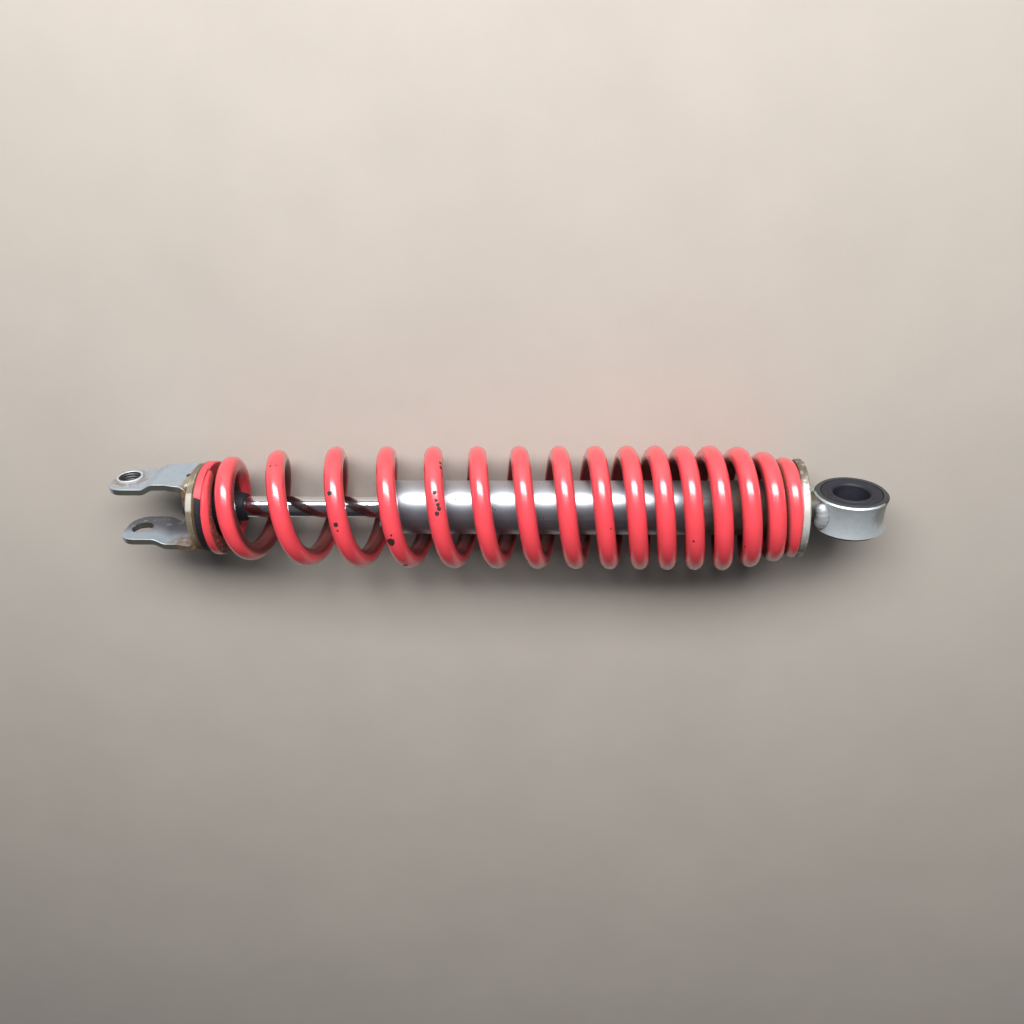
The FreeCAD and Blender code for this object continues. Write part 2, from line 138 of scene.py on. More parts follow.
PIT_BLACK = (0.020, 0.017, 0.016)
TUBE_FILM = (0.070, 0.056, 0.046)
CHROME_PIT = (0.05, 0.035, 0.025)


# Node materials

class Look:
    """One node material. Each method adds nodes and returns a socket or a number."""

    def __init__(self, name, sticky=False):
        self.material = bpy.data.materials.new(name)
        self.material.use_nodes = True
        self.tree = self.material.node_tree
        self.tree.nodes.clear()
        self.out = self.add("ShaderNodeOutputMaterial")
        self.surface = self.add("ShaderNodeBsdfPrincipled")
        self.tree.links.new(self.surface.outputs[0], self.out.inputs[0])
        if sticky:
            self.place = self.add("ShaderNodeAttribute", attribute_name="rest_place").outputs["Vector"]
        else:
            self.place = self.add("ShaderNodeTexCoord").outputs["Object"]
        parts = self.add("ShaderNodeSeparateXYZ")
        self.put(parts.inputs[0], self.place)
        self.x, self.y, self.z = parts.outputs

    def add(self, kind, **settings):
        node = self.tree.nodes.new(kind)
        for key, value in settings.items():
            setattr(node, key, value)
        return node

    def put(self, socket, value):
        if isinstance(value, bpy.types.NodeSocket):
            self.tree.links.new(value, socket)
        elif socket.type == "RGBA" and len(value) == 3:
            socket.default_value = (*value, 1)
        else:
            socket.default_value = value

    def math(self, operation, *values):
        node = self.add("ShaderNodeMath", operation=operation)
        for socket, value in zip(node.inputs, values):
            self.put(socket, value)
        return node.outputs[0]

    def band(self, value, start, end):
        """0 before start, 1 after end, with a smooth step between; start may be above end."""
        node = self.add("ShaderNodeMapRange", interpolation_type="SMOOTHSTEP")
        for socket, item in zip(node.inputs, (value, start, end, 0.0, 1.0)):
            self.put(socket, item)
        return node.outputs[0]

    def both(self, *values):
        """Product of masks."""
        result = values[0]
        for value in values[1:]:
            result = self.math("MULTIPLY", result, value)
        return result

    def either(self, *values):
        """Largest of masks."""
        result = values[0]
        for value in values[1:]:
            result = self.math("MAXIMUM", result, value)
        return result

    def mix(self, mask, first, second):
        node = self.add("ShaderNodeMix", data_type="RGBA", clamp_factor=True)
        for index, value in ((0, mask), (6, first), (7, second)):
            self.put(node.inputs[index], value)
        return node.outputs[2]

    def blend(self, mask, first, second):
        """Number between first and second."""
        node = self.add("ShaderNodeMix", data_type="FLOAT", clamp_factor=True)
        for index, value in ((0, mask), (2, first), (3, second)):
            self.put(node.inputs[index], value)
        return node.outputs[0]

    def stretched(self, x, y, z):
        """The place, scaled along each axis, for grain that runs one way."""
        node = self.add("ShaderNodeVectorMath", operation="MULTIPLY")
        self.put(node.inputs[0], self.place)
        self.put(node.inputs[1], (x, y, z))
        return node.outputs[0]

    def noise(self, size, detail=3.0, rough=0.55, place=None, twist=0.0):
        """Noise whose features are about this size."""
        node = self.add("ShaderNodeTexNoise")
        self.put(node.inputs["Vector"], self.place if place is None else place)
        self.put(node.inputs["Scale"], 1 / size)
        self.put(node.inputs["Detail"], detail)
        self.put(node.inputs["Roughness"], rough)
        self.put(node.inputs["Distortion"], twist)
        return node.outputs[0]

    def patches(self, size, start, end, detail=5.0, rough=0.7):
        """Noise turned into a mask: 0 where it is below start, 1 above end."""
        return self.band(self.noise(size, detail, rough), start, end)

    def between(self, value, start, full, fade, end):
        """0 before start, 1 from full to fade, 0 after end."""
        return self.both(self.band(value, start, full), self.band(value, end, fade))

    def distance(self, place):
        """Distance from a place."""
        node = self.add("ShaderNodeVectorMath", operation="DISTANCE")
        self.put(node.inputs[0], self.place)
        self.put(node.inputs[1], place)
        return node.outputs["Value"]

    def off_line(self, first, second):
        """Length of two sideways parts taken together."""
        squares = [self.math("POWER", value, 2.0) for value in (first, second)]
        return self.math("SQRT", self.math("ADD", *squares))

    def spots(self, size, share):
        """Scattered dots, about one per size, each up to share of it in radius."""
        soft = 0.15
        node = self.add("ShaderNodeTexVoronoi")
        self.put(node.inputs["Vector"], self.place)
        self.put(node.inputs["Scale"], 1 / size)
        return self.band(node.outputs["Distance"], share, share * (1 - soft))

    def near(self, centre, radius, ragged=0.5, grain=None, soft=0.06):
        """A ragged patch round a point; soft is the width of its edge as a share of its reach."""
        wobble = self.noise(grain or radius, 4, 0.65)
        reach = self.math("MULTIPLY_ADD", wobble, 2 * ragged * radius, radius * (1 - ragged))
        return self.band(self.distance(centre), self.math("MULTIPLY", reach, 1 + soft), reach)

    def facing(self, direction, start, end):
        """0 to 1 as the surface turns towards a direction, in the piece's own frame."""
        dot = self.add("ShaderNodeVectorMath", operation="DOT_PRODUCT")
        self.put(dot.inputs[0], self.add("ShaderNodeTexCoord").outputs["Normal"])
        self.put(dot.inputs[1], direction)
        return self.band(dot.outputs["Value"], start, end)

    def edges(self, radius):
        """Sharp edges, where a rounded normal leaves the true one: the mask for painted highlights."""
        bevel = self.add("ShaderNodeBevel", samples=4)
        self.put(bevel.inputs[0], radius)
        dot = self.add("ShaderNodeVectorMath", operation="DOT_PRODUCT")
        self.put(dot.inputs[0], bevel.outputs[0])
        self.put(dot.inputs[1], self.add("ShaderNodeNewGeometry").outputs["Normal"])
        return self.band(dot.outputs["Value"], 0.995, 0.85)

    def crevices(self, distance):
        """Mask of corners, from ambient occlusion: used to paint shade into corners, and to find where the
        end coils touch.
        """
        node = self.add("ShaderNodeAmbientOcclusion", samples=4, only_local=False)
        self.put(node.inputs["Distance"], distance)
        return self.band(node.outputs["AO"], 0.75, 0.25)

    def finish(self, colour, rough, metallic, bumps, coat=0.0, coat_rough=0.1):
        """Sets the surface. bumps are (height socket, depth in metres) pairs."""
        self.put(self.surface.inputs["Base Color"], colour)
        self.put(self.surface.inputs["Roughness"], rough)
        self.put(self.surface.inputs["Metallic"], metallic)
        self.put(self.surface.inputs["Coat Weight"], coat)
        self.put(self.surface.inputs["Coat Roughness"], coat_rough)
        normal = None
        for height, depth in bumps:
            bump = self.add("ShaderNodeBump")
            self.put(bump.inputs["Height"], height)
            self.put(bump.inputs["Distance"], depth)
            self.put(bump.inputs["Strength"], 1.0)
            if normal is not None:
                self.put(bump.inputs["Normal"], normal)
            normal = bump.outputs[0]
        if normal is not None:
            self.put(self.surface.inputs["Normal"], normal)
        return self.material


def rusted(look, mask, colour, rough, metallic):
    """Lays rust over a metal: returns the colour, roughness, metal share and rust height."""
    shade = look.mix(look.noise(1.2 * MM, 5, 0.7), RUST_DARK, RUST_LIGHT)
    return (
        look.mix(mask, colour, shade),
        look.blend(mask, rough, 0.85),
        look.blend(mask, metallic, 0.0),
        look.both(mask, look.noise(0.5 * MM, 4, 0.7)),
    )


def darker(colour, share):
    """A colour at a share of its brightness."""
    return tuple(share * c for c in colour)


def zinc_look(
    name, tint, clean, yellow=0.0, rust=None, stain=None, scratch_axis=(1, 6, 6), metal=0.55, dull=0.0,
):
    """Dull zinc plate, with painted highlights on its edges and painted shade in its corners. A higher clean
    leaves fewer rust specks.

    rust gives a mask for more rust, and stain lays other dirt and, in places, painted shade over the colour.
    """
    look = Look(name)
    clouds = look.noise(7 * MM, 4, 0.6, twist=0.6)
    colour = look.mix(clouds, tint, darker(tint, 0.74))
    tarnish = look.patches(11 * MM, 0.62 - 0.3 * yellow, 0.75 - 0.3 * yellow, 3, 0.55)
    colour = look.mix(look.both(tarnish, yellow), colour, YELLOWED)
    scratches = look.noise(0.5 * MM, 3, 0.6, look.stretched(*scratch_axis))
    smears = look.patches(2.6 * MM, 0.50, 0.70)
    colour = look.mix(look.both(smears, 0.25), colour, darker(tint, 0.5))
    # Painted highlight: the sharp edges are lightened.
    worn = look.both(look.edges(0.5 * MM), 0.8)
    colour = look.mix(worn, colour, EDGE_HIGHLIGHT)
    rough = look.blend(clouds, 0.34 + dull, 0.54 + dull)
    rough = look.blend(scratches, rough, look.math("ADD", rough, 0.10))
    specks = look.both(
        look.patches(1.6 * MM, clean + 0.10, clean + 0.17, rough=0.75),
        look.patches(9 * MM, 0.50, 0.62, 3, 0.55),
    )
    if stain is not None:
        colour = stain(look, colour)
    # Painted shade: corners and recesses darken towards near black.
    corner_shade = look.both(look.crevices(2.5 * MM), 0.85)
    mask = specks if rust is None else look.either(specks, rust(look))
    colour = look.mix(corner_shade, colour, GRIME_AND_SHADE)
    metallic = look.blend(corner_shade, metal, 0.1)
    colour, rough, metallic, crust = rusted(look, mask, colour, rough, metallic)
    bumps = ((scratches, 0.010 * MM), (clouds, 0.05 * MM), (crust, 0.12 * MM))
    return look.finish(colour, rough, metallic, bumps)


def rubber_look(name, shade, dusty, coat=None):
    """Rubber with a mould grain and dust; coat may lay paint on part of it."""
    look = Look(name)
    grain = look.noise(0.35 * MM, 4, 0.6)
    clouds = look.noise(6 * MM, 4, 0.65)
    colour = look.mix(clouds, (shade, shade, 1.6 * shade), (1.9 * shade, 1.9 * shade, 2.7 * shade))
    look.put(look.surface.inputs["Specular IOR Level"], 0.3)
    dust = look.both(look.patches(2.2 * MM, 0.52, 0.72, rough=0.75), dusty)
    colour = look.mix(dust, colour, DUST)
    rough = look.blend(clouds, 0.48, 0.70)
    if coat is not None:
        colour, rough = coat(look, colour, rough)
    return look.finish(colour, rough, 0.0, ((grain, 0.03 * MM), (clouds, 0.12 * MM)))


def machined_look(name, tint, rough, metallic=1.0, oily=0.4, ring_size=0.12 * MM):
    """Turned metal: rings left by the tool, oil film in patches and a few dark specks."""
    look = Look(name)
    rings = look.noise(ring_size, 2, 0.5, look.stretched(1.0, 0.05, 0.05))
    film = look.patches(8 * MM, 0.42, 0.62, 3, 0.55)
    colour = look.mix(look.both(film, oily), tint, darker(tint, 0.45))
    colour = look.mix(look.spots(2.5 * MM, 0.10), colour, GRIME_AND_SHADE)
    gloss = look.blend(film, rough, 0.6 * rough)
    gloss = look.blend(rings, gloss, look.math("ADD", gloss, 0.12))
    return look.finish(colour, gloss, metallic, ((rings, 0.008 * MM),))


# Spring

turns_start = 0.1
turns_end = 16.75
start_angle = math.radians(-26)
wire_r = 4.25 * MM
coil_r = spring_r - wire_r
coil_end_r = 17.9 * MM
ground_off = 2.3 * MM
closed_pitch = 8.7 * MM
# Extra pitch over the closed pitch: turn, millimetres; straight between
pitch_law = [
    (0.6, 0.0), (2.1, 23.2), (2.7, 18.0), (4.8, 13.0), (7.5, 10.0), (10.8, 3.5), (14.1, 3.9), (15.6, 0.0),
]
# Turns over which the coils widen from the end diameter at each end
narrowing_start = 3.0
narrowing_end = 3.4


def ease(t):
    """A smooth step from 0 to 1."""
    t = min(max(t, 0.0), 1.0)
    return t * t * (3 - 2 * t)


def law_area(turn):
    """Integral of the pitch law up to this turn."""
    area = 0.0
    for (start, first), (end, last) in zip(pitch_law, pitch_law[1:]):
        if turn <= start:
            break
        reached = min(turn, end)
        pitch = first + (last - first) * (reached - start) / (end - start)
        area += (first + pitch) / 2 * (reached - start)
    return area * MM


def wire_centre(turn):
    """Centre of the wire, the same curve as the CAD spring's."""
    start = spring_start - ground_off
    free = spring_end + ground_off - start
    spread = (free - closed_pitch * (turns_end - turns_start)) / law_area(turns_end)
    x = start + closed_pitch * (turn - turns_start) + spread * law_area(turn)
    full = min(ease(turn / narrowing_start), ease((turns_end - turn) / narrowing_end))
    radius = coil_end_r + (coil_r - coil_end_r) * full
    angle = start_angle + math.tau * turn
    return Vector((x, radius * math.cos(angle), radius * math.sin(angle)))


def wire_axes(turn):
    """Outward and sideways directions across the wire."""
    step = 0.002
    along = (wire_centre(turn + step) - wire_centre(turn - step)).normalized()
    angle = start_angle + math.tau * turn
    outward = Vector((0, math.cos(angle), math.sin(angle)))
    outward = (outward - along * outward.dot(along)).normalized()
    return outward, along.cross(outward)


def wire_point(turn, around):
    """A point on the wire's skin; around is in degrees from outward towards the eye."""
    outward, side = wire_axes(turn)
    if side.x < 0:
        side = -side
    angle = math.radians(around)
    return wire_centre(turn) + (outward * math.cos(angle) + side * math.sin(angle)) * wire_r


def new_piece(name, mesh, body, material, node):
    """Adds a smooth-shaded mesh that stands for a CAD node. It rides on a body, unless that is None."""
    piece = bpy.data.objects.new(name, mesh)
    bpy.context.collection.objects.link(piece)
    mesh.polygons.foreach_set("use_smooth", [True] * len(mesh.polygons))
    mesh.materials.append(material)
    if body is not None:
        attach(piece, body)
    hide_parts(node)
    return piece


def skin(rings, looped=False):
    """A mesh through rings of points. The row of rings is either looped or capped at both ends."""
    count = len(rings[0])
    points = [point for ring in rings for point in ring]
    faces = []
    rows = len(rings) if looped else len(rings) - 1
    for i in range(rows):
        here = i * count
        there = (i + 1) % len(rings) * count
        for j in range(count):
            k = (j + 1) % count
            faces.append((here + j, there + j, there + k, here + k))
    if not looped:
        faces.append(tuple(range(count)))
        faces.append(tuple(reversed(range(len(points) - count, len(points)))))
    mesh = bpy.data.meshes.new("skin")
    mesh.from_pydata(points, [], faces)
    build = bmesh.new()
    build.from_mesh(mesh)
    bmesh.ops.recalc_face_normals(build, faces=build.faces)
    build.to_mesh(mesh)
    build.free()
    return mesh


rings_per_turn = 84
points_round_wire = 28


def spring_mesh():
    """The wire, with both ends ground flat."""
    count = round((turns_end - turns_start) * rings_per_turn)
    rings = []
    for i in range(count + 1):
        turn = turns_start + (turns_end - turns_start) * i / count
        centre = wire_centre(turn)
        outward, side = wire_axes(turn)
        ring = []
        for j in range(points_round_wire):
            angle = math.tau * j / points_round_wire
            point = centre + (outward * math.cos(angle) + side * math.sin(angle)) * wire_r
            point.x = min(max(point.x, spring_start), spring_end)
            ring.append(point)
        rings.append(ring)
    return skin(rings)


# Paint chips: turn, degrees round the wire from outward towards the eye, size in mm
chips = [
    (2.125, -15, 0.5), (2.125, 20, 0.4), (3.21, -15, 1.1), (3.29, -3, 1.0), (3.306, -1, 0.45),
    (4.338, -14, 2.0), (4.318, 0, 0.5), (5.115, 56, 0.8), (5.132, 60, 0.9), (5.210, 8, 0.85),
    (5.229, 12, 0.6), (5.241, 20, 0.8), (5.251, 24, 0.9), (5.262, 8, 1.0), (9.30, 35, 0.4),
    (12.33, -15, 0.5), (7.42, -50, 1.0), (10.46, 50, 0.8), (14.36, -58, 0.5), (1.62, -10, 0.5),
    (3.46, -10, 0.9), (4.44, 8, 1.0), (11.9, 40, 0.5),
]


def worn_ends(look):
    """Paint worn off where the end coils touch, and in a band round the last coil at the fork end."""
    first = look.band(look.x, spring_start + 22 * MM, spring_start + 4 * MM)
    last = look.band(look.x, spring_end - 26 * MM, spring_end - 3 * MM)
    touching = look.both(look.either(first, last), look.crevices(5 * MM))
    inner = (spring_start + 2.2 * MM, spring_start + 3.6 * MM)
    outer = (spring_start + 4.8 * MM, spring_start + 6.0 * MM)
    rubbed = look.between(look.x, *inner, *outer)
    ends = look.either(touching, look.both(rubbed, 0.75))
    return look.both(look.patches(1.5 * MM, 0.30, 0.50), look.band(ends, 0.20, 0.70))


def shaded_inside(look):
    """Mask of the inner half of the wire, away from both ends, where shade and dirt are painted."""
    inner_half = look.band(look.off_line(look.y, look.z), coil_r - 0.3 * MM, coil_r - 2.6 * MM)
    middle = look.between(
        look.x, spring_start + 9 * MM, spring_start + 16 * MM, spring_end - 16 * MM, spring_end - 8 * MM,
    )
    return look.both(inner_half, middle, 0.92)


def spring_look():
    """Gloss red paint over dark steel: chips, worn brown ends, darker patches underneath, scuffed dirt, and
    painted shade in corners and on the inner half of the wire.
    """
    look = Look("spring_red_paint", sticky=True)
    clouds = look.noise(14 * MM, 4, 0.6)
    peel = look.noise(0.9 * MM, 2, 0.5)
    colour = look.mix(clouds, SPRING_RED, SPRING_SHADE)
    chipped = look.either(*(
        look.near(wire_point(turn, around), size * MM, 0.75, 0.8 * size * MM) for turn, around, size in chips
    ))
    low_side = look.band(look.z, -0.4 * spring_r, -spring_r)
    scuffs = look.both(look.patches(1.3 * MM, 0.60, 0.66, 6, 0.8), look.band(clouds, 0.40, 0.60))
    # Darker patches on the underside, scuffed dirt, and painted shade in corners.
    grime_and_shade = look.either(
        look.both(low_side, look.patches(3 * MM, 0.45, 0.75), 0.55),
        look.both(scuffs, 0.35),
        look.both(look.crevices(4 * MM), 0.35),
    )
    colour = look.mix(grime_and_shade, colour, RED_GRIME_AND_SHADE)
    # Painted shade, with some dirt, on the inner half of the wire.
    inside = shaded_inside(look)
    colour = look.mix(inside, colour, INSIDE_SHADE_AND_GRIME)
    worn = worn_ends(look)
    colour = look.mix(worn, colour, look.mix(look.noise(0.8 * MM, 4, 0.7), BURNT_DARK, BURNT_LIGHT))
    colour = look.mix(chipped, colour, look.mix(look.noise(0.6 * MM, 3), CHIP_DARK, CHIP_LIGHT))
    bare = look.either(chipped, worn)
    rough = look.blend(bare, look.blend(clouds, 0.30, 0.40), 0.72)
    coat = look.blend(look.either(bare, grime_and_shade, inside, look.both(low_side, 0.9)), 1.0, 0.1)
    depth = look.math("SUBTRACT", 1.0, bare)
    look.put(look.surface.inputs["Specular IOR Level"], look.blend(low_side, 0.5, 0.12))
    return look.finish(colour, rough, 0.0, ((peel, 0.020 * MM), (depth, 0.12 * MM)), coat, 0.14)


def make_spring():
    """The wire. It bends between its two ends, which stay rigid over one lead-in each."""
    mesh = spring_mesh()
    store = mesh.attributes.new("rest_place", "FLOAT_VECTOR", "POINT")
    store.data.foreach_set("vector", [c for v in mesh.vertices for c in v.co])
    piece = new_piece("coil_spring_wire", mesh, None, spring_look(), "coil_spring")
    lead_in = 9 * MM
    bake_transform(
        piece, "spring_lower_end", "damper_body",
        start=(spring_start + lead_in, 0, 0), end=(spring_end - lead_in, 0, 0),
    )
    keep_wire_round(piece)


def keep_wire_round(piece):
    """Gives each ring of points its mean blend weight, so that the wire moves without flattening."""
    store = piece.data.attributes["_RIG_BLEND"].data
    weights = [0.0] * len(store)
    store.foreach_get("value", weights)
    for i in range(0, len(weights), points_round_wire):
        ring = weights[i:i + points_round_wire]
        weights[i:i + points_round_wire] = [sum(ring) / len(ring)] * len(ring)
    store.foreach_set("value", weights)


# Turned pieces with smooth profiles

def rounded_profile(corners):
    """An outline through (a, b, radius) corners, with each corner rounded by a curve."""
    steps = 5
    result = []
    count = len(corners)
    for i, (a, b, radius) in enumerate(corners):
        here = Vector((a, b))
        back = Vector(corners[i - 1][:2]) - here
        ahead = Vector(corners[(i + 1) % count][:2]) - here
        if radius <= 0:
            result.append(here)
            continue
        half = back.angle(ahead) / 2
        run = min(radius / math.tan(half), back.length * 0.49, ahead.length * 0.49)
        start = here + back.normalized() * run
        end = here + ahead.normalized() * run
        for step in range(steps + 1):
            t = step / steps
            result.append(start * (1 - t) ** 2 + here * 2 * t * (1 - t) + end * t * t)
    return result


def lathe(profile, axis, centre, around, wobble):
    """Spins a closed (along, radius) outline about an axis. wobble gives each point its new radius."""
    side = Vector((0, 0, 1))
    other = axis.cross(side)
    rings = []
    for i in range(around):
        turn = i / around
        out = side * math.cos(math.tau * turn) + other * math.sin(math.tau * turn)
        ring = []
        for along, radius in profile:
            ring.append(centre + axis * along + out * wobble(along, radius, turn))
        rings.append(ring)
    return skin(rings, looped=True)


# Stains, as functions that a look calls

def fork_rust(look):
    """Rust on the fork close to the disc and round the threaded bush."""
    foot = look.both(
        look.band(look.x, lower_seat_start - 14 * MM, lower_seat_start - 3 * MM),
        look.patches(3.0 * MM, 0.42, 0.58),
        look.band(look.y, 4 * MM, -12 * MM),
    )
    corner = look.both(
        look.band(look.x, lower_seat_start - 5 * MM, lower_seat_start - 1 * MM),
        look.patches(2.2 * MM, 0.40, 0.55),
    )
    halo = look.both(
        look.band(look.distance((bolt_x, bush_top, 0.0)), bush_r + 5.5 * MM, bush_r + 0.8 * MM),
        look.patches(2.5 * MM, 0.38, 0.58, 4),
        0.8,
    )
    return look.either(foot, corner, halo)


def rim_rust(upper):
    """Rust along a disc's rim, towards +Y when upper is 1 and towards -Y when it is -1."""
    def mask(look):
        rim = look.patches(3.5 * MM, 0.50, 0.62)
        side = look.band(look.y, -12 * MM * upper, 18 * MM * upper)
        speckle = look.patches(1.5 * MM, 0.45, 0.60, 4)
        return look.both(rim, speckle, side)
    return mask


def fork_stain_and_shade(look, colour):
    """Painted shadow of the other ear and tan rust on the plain ear, painted shade on the sheet's edges, and
    black painted shade in the gaps between the weld beads.
    """
    plain_ear = look.band(look.y, -9 * MM, -12 * MM)
    # Painted shadow of the other ear, in patches, on the far part of the plain ear.
    film = look.both(plain_ear, look.band(look.z, 8 * MM, -3 * MM), look.patches(3 * MM, 0.20, 0.48))
    colour = look.mix(look.both(film, 0.9), colour, EAR_SHADOW_VIOLET)
    tan = look.both(
        look.band(look.x, lower_seat_start - 19 * MM, lower_seat_start - 10 * MM),
        plain_ear,
        look.band(look.z, 1 * MM, 7 * MM),
        look.patches(3.5 * MM, 0.30, 0.52),
    )
    colour = look.mix(look.both(tan, 0.85), colour, TAN_RUST)
    # Painted shade, in patches, on the sheet's edges that face up and down.
    upward = look.facing((0, 0, 1), 0.75, 0.95)
    downward = look.facing((0, 0, -1), 0.75, 0.95)
    edge = look.both(look.either(upward, downward), look.patches(4 * MM, 0.12, 0.42))
    colour = look.mix(look.both(edge, 0.95), colour, EDGE_SHADE)
    # Painted shade: black in the gaps between the weld beads.
    gap_x = lower_seat_start - 2.0 * MM
    gaps = look.either(*(
        look.near((gap_x, side * bracket_foot_y, 0.8 * MM), 2.1 * MM, 0.25) for side in (1, -1)
    ))
    return look.mix(gaps, colour, GAP_SHADE)


def lower_seat_stain(look, colour):
    """Olive dirt round the disc's rim, with one lighter cream patch between the ears."""
    dirt = look.patches(5 * MM, 0.28, 0.52, 4, 0.65)
    colour = look.mix(look.both(dirt, 0.85), colour, OLIVE_DIRT)
    # A lighter cream patch on the rim between the ears.
    clean = look.near((lower_seat_start + 1.5 * MM, 11.0 * MM, 17.2 * MM), 3.2 * MM, 0.4, 1.6 * MM, 0.5)
    return look.mix(clean, colour, PALE_CREAM)


def upper_seat_shade_and_grime(look, colour):
    """Painted shade in grey-green, in patches, on the disc's -Y side away from the light, and brown dirt
    along its top.
    """
    # Painted shade: darker grey-green on the -Y side, away from the light.
    dirt = look.both(look.band(look.y, 4 * MM, -12 * MM), look.patches(4 * MM, 0.25, 0.55, 4, 0.65))
    colour = look.mix(dirt, colour, SIDE_SHADE_GREEN)
    top = look.both(look.band(look.y, 15 * MM, 21 * MM), look.patches(3 * MM, 0.25, 0.50))
    return look.mix(look.both(top, 0.9), colour, BROWN_GRIME)


def eye_stain(look, colour):
    """Brown-grey dirt on the shoulder away from the damper, and black on the end face and its far rim."""
    shoulder = (0.75 * eye_r, 0.45 * eye_half, 0.62 * eye_r)
    dirt = look.both(look.near(shoulder, 4 * MM, 0.4, 3 * MM, 1.2), 0.6)
    colour = look.mix(dirt, colour, SHOULDER_DIRT)
    lean = look.math("MULTIPLY_ADD", look.x, -0.45, look.z)
    rim = look.band(look.y, eye_half - 1.6 * MM, eye_half - 0.7 * MM)
    far_rim = look.both(rim, look.band(lean, 6.5 * MM, 4.0 * MM))
    face = look.band(look.y, eye_half - 0.12 * MM, eye_half - 0.05 * MM)
    dark = look.both(look.either(far_rim, face), look.patches(3 * MM, 0.05, 0.30, 4, 0.6))
    return look.mix(look.both(dark, 0.93), colour, EYE_BLACK)


def thread_hole_shade(look, colour):
    """Painted shade down in the thread."""
    from_bolt = look.off_line(look.math("SUBTRACT", look.x, bolt_x), look.z)
    # Painted shade inside the threaded hole.
    inside = look.band(from_bolt, thread_minor_r + 0.83 * MM, thread_minor_r + 0.53 * MM)
    return look.mix(look.both(inside, 0.93), colour, THREAD_SHADE)


def overspray(look, colour, rough):
    """Red paint on the rim of the rubber ring's upper half, ending at a sharp line, and rust by the seat."""
    wander = look.math("MULTIPLY_ADD", look.noise(4 * MM, 3), 3 * MM, -1.5 * MM)
    slope = look.math("SUBTRACT", look.y, look.math("MULTIPLY", look.z, 0.30))
    painted = look.band(look.math("ADD", slope, wander), 7.8 * MM, 8.2 * MM)
    gaps = look.patches(1.2 * MM, 0.70, 0.62, rough=0.8)
    rim = look.band(look.x, spring_start + 0.2 * MM, spring_start - 0.2 * MM)
    mask = look.both(painted, gaps, rim)
    colour = look.mix(mask, colour, SPRING_RED)
    rough = look.blend(mask, rough, 0.36)
    stain = look.both(
        look.band(look.x, insulator_start + 1.3 * MM, insulator_start + 0.8 * MM),
        look.patches(2 * MM, 0.25, 0.45, 4),
    )
    return look.mix(stain, colour, PAINT_EDGE_RUST), rough


# Looks of single pieces

# Deeper pits on the tube: distance from the eye in mm, degrees from straight up towards +Y, size in mm
dents = [
    (159.6, 26, 0.55), (158.2, 22, 0.40), (142.3, 29, 0.50), (141.0, 22, 0.60), (124.5, 27, 0.35),
    (176.0, 44, 0.40),
]


def dent_mask(look):
    """Mask of the deeper pits."""
    marks = []
    for along, lean, size in dents:
        angle = math.radians(lean)
        place = (-along * MM, tube_r * math.sin(angle), tube_r * math.cos(angle))
        marks.append(look.near(place, size * MM, 0.7, 0.8 * size * MM))
    return look.either(*marks)


def tube_look():
    """Satin drawn steel with small dark pits; browner and duller towards the eye."""
    look = Look("tube_satin_steel")
    grain = look.noise(0.35 * MM, 3, 0.5, look.stretched(0.06, 1, 1))
    clouds = look.noise(9 * MM, 4, 0.6)
    colour = look.mix(clouds, (0.57, 0.59, 0.64), (0.45, 0.465, 0.51))
    pits = look.both(
        look.either(look.spots(5.5 * MM, 0.075), look.patches(1.7 * MM, 0.665, 0.685, 6, 0.85)),
        look.patches(12 * MM, 0.36, 0.50, 2, 0.55),
    )
    pits = look.either(pits, look.both(dent_mask(look), 0.85))
    colour = look.mix(pits, colour, PIT_BLACK)
    aged = look.both(
        look.band(look.x, tube_end - 54 * MM, tube_end - 34 * MM),
        look.patches(4.5 * MM, 0.42, 0.66, rough=0.75),
        0.7,
    )
    film = look.both(look.band(look.x, tube_end - 60 * MM, tube_end - 32 * MM), 0.92)
    colour = look.mix(film, colour, TUBE_FILM)
    rough = look.blend(grain, 0.34, 0.46)
    rough = look.blend(film, rough, 0.60)
    metallic = look.blend(film, 0.95, 0.55)
    colour, rough, metallic, crust = rusted(look, aged, colour, rough, metallic)
    rough = look.blend(pits, rough, 0.8)
    metallic = look.blend(pits, metallic, 0.1)
    sunk = look.math("SUBTRACT", 1.0, pits)
    bumps = ((grain, 0.004 * MM), (sunk, 0.06 * MM), (crust, 0.10 * MM))
    return look.finish(colour, rough, metallic, bumps)


def chrome_look():
    """Hard chrome: near mirror finish with faint lengthwise rubs, haze and rare pits."""
    look = Look("rod_hard_chrome")
    rubs = look.noise(0.25 * MM, 3, 0.6, look.stretched(0.04, 1, 1))
    haze = look.noise(10 * MM, 4, 0.6)
    colour = look.mix(haze, (0.80, 0.81, 0.83), (0.66, 0.67, 0.70))
    pits = look.both(look.spots(7 * MM, 0.05), look.patches(15 * MM, 0.45, 0.55, 2, 0.55))
    colour = look.mix(pits, colour, CHROME_PIT)
    rough = look.blend(haze, 0.10, 0.17)
    rough = look.blend(pits, rough, 0.6)
    return look.finish(colour, rough, 1.0, ((rubs, 0.0012 * MM),))


# Assignment of looks to the CAD nodes

def paint(node, material):
    """Gives a CAD node its material."""
    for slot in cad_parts[node].material_slots:
        slot.material = material


